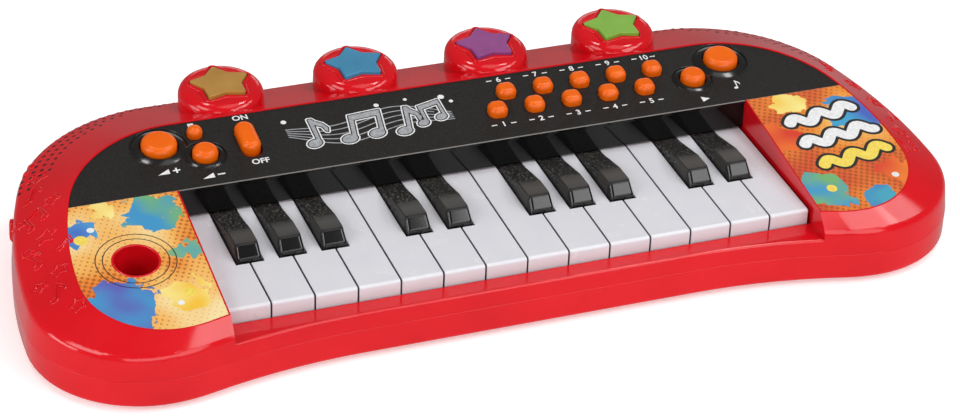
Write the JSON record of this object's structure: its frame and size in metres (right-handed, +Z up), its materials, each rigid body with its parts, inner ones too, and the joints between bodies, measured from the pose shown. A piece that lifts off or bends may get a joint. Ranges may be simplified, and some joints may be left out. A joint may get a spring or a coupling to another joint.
{
  "type": "toy piano",
  "caption": "Toy electronic keyboard: red moulded case with small piano keys, a sloped black button panel, star-shaped pads along the back and a microphone holder.",
  "frame": {"origin": "on the table under the middle of the case", "axes": "+X from the low notes to the high notes, +Y from the player to the back, +Z up"},
  "size_m": [0.423, 0.1826, 0.0546],
  "materials": {
    "red_shell": "glossy moulded plastic",
    "black_panel": "satin plastic, glossy on the upright front",
    "printed_label": "printed film with a satin gloss",
    "white_key": "glossy moulded plastic",
    "black_key": "glossy moulded plastic with a fine texture on top",
    "orange_button": "satin moulded plastic",
    "gold_star": "tinted moulded plastic",
    "blue_star": "tinted moulded plastic",
    "purple_star": "tinted moulded plastic",
    "green_star": "tinted moulded plastic",
    "inner_frame": "plain moulded plastic",
    "steel": "zinc plated",
    "contact_rubber": "silicone rubber",
    "circuit_board": "bare paper laminate",
    "speaker": "paper cone in a stamped basket",
    "battery": "plain sleeve",
    "nickel_plate": "nickel plated"
  },
  "bodies": {
    "case": {"upper_shell": "red_shell", "lower_shell": "red_shell", "control_panel": "black_panel", "side_labels": "printed_label", "key_frame": "inner_frame", "pivot_rod": "steel", "key_contact_strip": "contact_rubber", "key_circuit_board": "circuit_board", "panel_circuit_boards": "circuit_board", "button_contact_sheets": "contact_rubber", "speakers": "speaker", "batteries": "battery", "battery_contacts": "nickel_plate", "shell_screws": "steel", "microphone_jack": "red_shell"},
    "battery_cover": {"battery_cover": "red_shell"},
    "power_slider": {"power_slider": "orange_button"},
    "star_button_1": {"star_button_1": "gold_star"},
    "star_button_2": {"star_button_2": "blue_star"},
    "star_button_3": {"star_button_3": "purple_star"},
    "star_button_4": {"star_button_4": "green_star"},
    "volume_up_button": {"volume_up_button": "orange_button"},
    "volume_down_button": {"volume_down_button": "orange_button"},
    "stop_button": {"stop_button": "orange_button"},
    "play_button": {"play_button": "orange_button"},
    "demo_button": {"demo_button": "orange_button"},
    "tone_button_1": {"tone_button_1": "orange_button"},
    "tone_button_2": {"tone_button_2": "orange_button"},
    "tone_button_3": {"tone_button_3": "orange_button"},
    "tone_button_4": {"tone_button_4": "orange_button"},
    "tone_button_5": {"tone_button_5": "orange_button"},
    "rhythm_button_1": {"rhythm_button_1": "orange_button"},
    "rhythm_button_2": {"rhythm_button_2": "orange_button"},
    "rhythm_button_3": {"rhythm_button_3": "orange_button"},
    "rhythm_button_4": {"rhythm_button_4": "orange_button"},
    "rhythm_button_5": {"rhythm_button_5": "orange_button"},
    "black_key_01": {"black_key_01": "black_key"},
    "black_key_02": {"black_key_02": "black_key"},
    "black_key_03": {"black_key_03": "black_key"},
    "black_key_04": {"black_key_04": "black_key"},
    "black_key_05": {"black_key_05": "black_key"},
    "black_key_06": {"black_key_06": "black_key"},
    "black_key_07": {"black_key_07": "black_key"},
    "black_key_08": {"black_key_08": "black_key"},
    "black_key_09": {"black_key_09": "black_key"},
    "black_key_10": {"black_key_10": "black_key"},
    "white_key_01": {"white_key_01": "white_key"},
    "white_key_02": {"white_key_02": "white_key"},
    "white_key_03": {"white_key_03": "white_key"},
    "white_key_04": {"white_key_04": "white_key"},
    "white_key_05": {"white_key_05": "white_key"},
    "white_key_06": {"white_key_06": "white_key"},
    "white_key_07": {"white_key_07": "white_key"},
    "white_key_08": {"white_key_08": "white_key"},
    "white_key_09": {"white_key_09": "white_key"},
    "white_key_10": {"white_key_10": "white_key"},
    "white_key_11": {"white_key_11": "white_key"},
    "white_key_12": {"white_key_12": "white_key"},
    "white_key_13": {"white_key_13": "white_key"},
    "white_key_14": {"white_key_14": "white_key"}
  },
  "joints": [
    {"name": "battery_cover_hinge", "type": "hinge", "parent": "case", "child": "battery_cover", "pos_m": [0, 0.0851, 0.0031], "axis": [1, 0, 0], "range_deg": [0, 70]},
    {"name": "power_slider_slide", "type": "slide", "parent": "case", "child": "power_slider", "axis": [0, -0.9903, -0.1392], "range_m": [0, 0.0025]},
    {"name": "star_button_1_slide", "type": "slide", "parent": "case", "child": "star_button_1", "axis": [0, 0, -1], "range_m": [0, 0.002], "stiffness_N_per_m": 600, "springref_m": -0.001},
    {"name": "star_button_2_slide", "type": "slide", "parent": "case", "child": "star_button_2", "axis": [0, 0, -1], "range_m": [0, 0.002], "stiffness_N_per_m": 600, "springref_m": -0.001},
    {"name": "star_button_3_slide", "type": "slide", "parent": "case", "child": "star_button_3", "axis": [0, 0, -1], "range_m": [0, 0.002], "stiffness_N_per_m": 600, "springref_m": -0.001},
    {"name": "star_button_4_slide", "type": "slide", "parent": "case", "child": "star_button_4", "axis": [0, 0, -1], "range_m": [0, 0.002], "stiffness_N_per_m": 600, "springref_m": -0.001},
    {"name": "volume_up_button_slide", "type": "slide", "parent": "case", "child": "volume_up_button", "axis": [0, 0.1392, -0.9903], "range_m": [0, 0.0016], "stiffness_N_per_m": 600, "springref_m": -0.001},
    {"name": "volume_down_button_slide", "type": "slide", "parent": "case", "child": "volume_down_button", "axis": [0, 0.1392, -0.9903], "range_m": [0, 0.0016], "stiffness_N_per_m": 600, "springref_m": -0.001},
    {"name": "stop_button_slide", "type": "slide", "parent": "case", "child": "stop_button", "axis": [0, 0.1392, -0.9903], "range_m": [0, 0.0016], "stiffness_N_per_m": 600, "springref_m": -0.001},
    {"name": "play_button_slide", "type": "slide", "parent": "case", "child": "play_button", "axis": [0, 0.1392, -0.9903], "range_m": [0, 0.0016], "stiffness_N_per_m": 600, "springref_m": -0.001},
    {"name": "demo_button_slide", "type": "slide", "parent": "case", "child": "demo_button", "axis": [0, 0.1392, -0.9903], "range_m": [0, 0.0016], "stiffness_N_per_m": 600, "springref_m": -0.001},
    {"name": "tone_button_1_slide", "type": "slide", "parent": "case", "child": "tone_button_1", "axis": [0, 0.1392, -0.9903], "range_m": [0, 0.0016], "stiffness_N_per_m": 600, "springref_m": -0.001},
    {"name": "tone_button_2_slide", "type": "slide", "parent": "case", "child": "tone_button_2", "axis": [0, 0.1392, -0.9903], "range_m": [0, 0.0016], "stiffness_N_per_m": 600, "springref_m": -0.001},
    {"name": "tone_button_3_slide", "type": "slide", "parent": "case", "child": "tone_button_3", "axis": [0, 0.1392, -0.9903], "range_m": [0, 0.0016], "stiffness_N_per_m": 600, "springref_m": -0.001},
    {"name": "tone_button_4_slide", "type": "slide", "parent": "case", "child": "tone_button_4", "axis": [0, 0.1392, -0.9903], "range_m": [0, 0.0016], "stiffness_N_per_m": 600, "springref_m": -0.001},
    {"name": "tone_button_5_slide", "type": "slide", "parent": "case", "child": "tone_button_5", "axis": [0, 0.1392, -0.9903], "range_m": [0, 0.0016], "stiffness_N_per_m": 600, "springref_m": -0.001},
    {"name": "rhythm_button_1_slide", "type": "slide", "parent": "case", "child": "rhythm_button_1", "axis": [0, 0.1392, -0.9903], "range_m": [0, 0.0016], "stiffness_N_per_m": 600, "springref_m": -0.001},
    {"name": "rhythm_button_2_slide", "type": "slide", "parent": "case", "child": "rhythm_button_2", "axis": [0, 0.1392, -0.9903], "range_m": [0, 0.0016], "stiffness_N_per_m": 600, "springref_m": -0.001},
    {"name": "rhythm_button_3_slide", "type": "slide", "parent": "case", "child": "rhythm_button_3", "axis": [0, 0.1392, -0.9903], "range_m": [0, 0.0016], "stiffness_N_per_m": 600, "springref_m": -0.001},
    {"name": "rhythm_button_4_slide", "type": "slide", "parent": "case", "child": "rhythm_button_4", "axis": [0, 0.1392, -0.9903], "range_m": [0, 0.0016], "stiffness_N_per_m": 600, "springref_m": -0.001},
    {"name": "rhythm_button_5_slide", "type": "slide", "parent": "case", "child": "rhythm_button_5", "axis": [0, 0.1392, -0.9903], "range_m": [0, 0.0016], "stiffness_N_per_m": 600, "springref_m": -0.001},
    {"name": "black_key_01_hinge", "type": "hinge", "parent": "case", "child": "black_key_01", "pos_m": [0, 0.02825, 0.0252], "axis": [1, 0, 0], "range_deg": [0, 2], "stiffness_Nm_per_rad": 1, "springref_deg": -1.72},
    {"name": "black_key_02_hinge", "type": "hinge", "parent": "case", "child": "black_key_02", "pos_m": [0, 0.02825, 0.0252], "axis": [1, 0, 0], "range_deg": [0, 2], "stiffness_Nm_per_rad": 1, "springref_deg": -1.72},
    {"name": "black_key_03_hinge", "type": "hinge", "parent": "case", "child": "black_key_03", "pos_m": [0, 0.02825, 0.0252], "axis": [1, 0, 0], "range_deg": [0, 2], "stiffness_Nm_per_rad": 1, "springref_deg": -1.72},
    {"name": "black_key_04_hinge", "type": "hinge", "parent": "case", "child": "black_key_04", "pos_m": [0, 0.02825, 0.0252], "axis": [1, 0, 0], "range_deg": [0, 2], "stiffness_Nm_per_rad": 1, "springref_deg": -1.72},
    {"name": "black_key_05_hinge", "type": "hinge", "parent": "case", "child": "black_key_05", "pos_m": [0, 0.02825, 0.0252], "axis": [1, 0, 0], "range_deg": [0, 2], "stiffness_Nm_per_rad": 1, "springref_deg": -1.72},
    {"name": "black_key_06_hinge", "type": "hinge", "parent": "case", "child": "black_key_06", "pos_m": [0, 0.02825, 0.0252], "axis": [1, 0, 0], "range_deg": [0, 2], "stiffness_Nm_per_rad": 1, "springref_deg": -1.72},
    {"name": "black_key_07_hinge", "type": "hinge", "parent": "case", "child": "black_key_07", "pos_m": [0, 0.02825, 0.0252], "axis": [1, 0, 0], "range_deg": [0, 2], "stiffness_Nm_per_rad": 1, "springref_deg": -1.72},
    {"name": "black_key_08_hinge", "type": "hinge", "parent": "case", "child": "black_key_08", "pos_m": [0, 0.02825, 0.0252], "axis": [1, 0, 0], "range_deg": [0, 2], "stiffness_Nm_per_rad": 1, "springref_deg": -1.72},
    {"name": "black_key_09_hinge", "type": "hinge", "parent": "case", "child": "black_key_09", "pos_m": [0, 0.02825, 0.0252], "axis": [1, 0, 0], "range_deg": [0, 2], "stiffness_Nm_per_rad": 1, "springref_deg": -1.72},
    {"name": "black_key_10_hinge", "type": "hinge", "parent": "case", "child": "black_key_10", "pos_m": [0, 0.02825, 0.0252], "axis": [1, 0, 0], "range_deg": [0, 2], "stiffness_Nm_per_rad": 1, "springref_deg": -1.72},
    {"name": "white_key_01_hinge", "type": "hinge", "parent": "case", "child": "white_key_01", "pos_m": [0, 0.02825, 0.0252], "axis": [1, 0, 0], "range_deg": [0, 2], "stiffness_Nm_per_rad": 1, "springref_deg": -1.72},
    {"name": "white_key_02_hinge", "type": "hinge", "parent": "case", "child": "white_key_02", "pos_m": [0, 0.02825, 0.0252], "axis": [1, 0, 0], "range_deg": [0, 2], "stiffness_Nm_per_rad": 1, "springref_deg": -1.72},
    {"name": "white_key_03_hinge", "type": "hinge", "parent": "case", "child": "white_key_03", "pos_m": [0, 0.02825, 0.0252], "axis": [1, 0, 0], "range_deg": [0, 2], "stiffness_Nm_per_rad": 1, "springref_deg": -1.72},
    {"name": "white_key_04_hinge", "type": "hinge", "parent": "case", "child": "white_key_04", "pos_m": [0, 0.02825, 0.0252], "axis": [1, 0, 0], "range_deg": [0, 2], "stiffness_Nm_per_rad": 1, "springref_deg": -1.72},
    {"name": "white_key_05_hinge", "type": "hinge", "parent": "case", "child": "white_key_05", "pos_m": [0, 0.02825, 0.0252], "axis": [1, 0, 0], "range_deg": [0, 2], "stiffness_Nm_per_rad": 1, "springref_deg": -1.72},
    {"name": "white_key_06_hinge", "type": "hinge", "parent": "case", "child": "white_key_06", "pos_m": [0, 0.02825, 0.0252], "axis": [1, 0, 0], "range_deg": [0, 2], "stiffness_Nm_per_rad": 1, "springref_deg": -1.72},
    {"name": "white_key_07_hinge", "type": "hinge", "parent": "case", "child": "white_key_07", "pos_m": [0, 0.02825, 0.0252], "axis": [1, 0, 0], "range_deg": [0, 2], "stiffness_Nm_per_rad": 1, "springref_deg": -1.72},
    {"name": "white_key_08_hinge", "type": "hinge", "parent": "case", "child": "white_key_08", "pos_m": [0, 0.02825, 0.0252], "axis": [1, 0, 0], "range_deg": [0, 2], "stiffness_Nm_per_rad": 1, "springref_deg": -1.72},
    {"name": "white_key_09_hinge", "type": "hinge", "parent": "case", "child": "white_key_09", "pos_m": [0, 0.02825, 0.0252], "axis": [1, 0, 0], "range_deg": [0, 2], "stiffness_Nm_per_rad": 1, "springref_deg": -1.72},
    {"name": "white_key_10_hinge", "type": "hinge", "parent": "case", "child": "white_key_10", "pos_m": [0, 0.02825, 0.0252], "axis": [1, 0, 0], "range_deg": [0, 2], "stiffness_Nm_per_rad": 1, "springref_deg": -1.72},
    {"name": "white_key_11_hinge", "type": "hinge", "parent": "case", "child": "white_key_11", "pos_m": [0, 0.02825, 0.0252], "axis": [1, 0, 0], "range_deg": [0, 2], "stiffness_Nm_per_rad": 1, "springref_deg": -1.72},
    {"name": "white_key_12_hinge", "type": "hinge", "parent": "case", "child": "white_key_12", "pos_m": [0, 0.02825, 0.0252], "axis": [1, 0, 0], "range_deg": [0, 2], "stiffness_Nm_per_rad": 1, "springref_deg": -1.72},
    {"name": "white_key_13_hinge", "type": "hinge", "parent": "case", "child": "white_key_13", "pos_m": [0, 0.02825, 0.0252], "axis": [1, 0, 0], "range_deg": [0, 2], "stiffness_Nm_per_rad": 1, "springref_deg": -1.72},
    {"name": "white_key_14_hinge", "type": "hinge", "parent": "case", "child": "white_key_14", "pos_m": [0, 0.02825, 0.0252], "axis": [1, 0, 0], "range_deg": [0, 2], "stiffness_Nm_per_rad": 1, "springref_deg": -1.72}
  ]
}
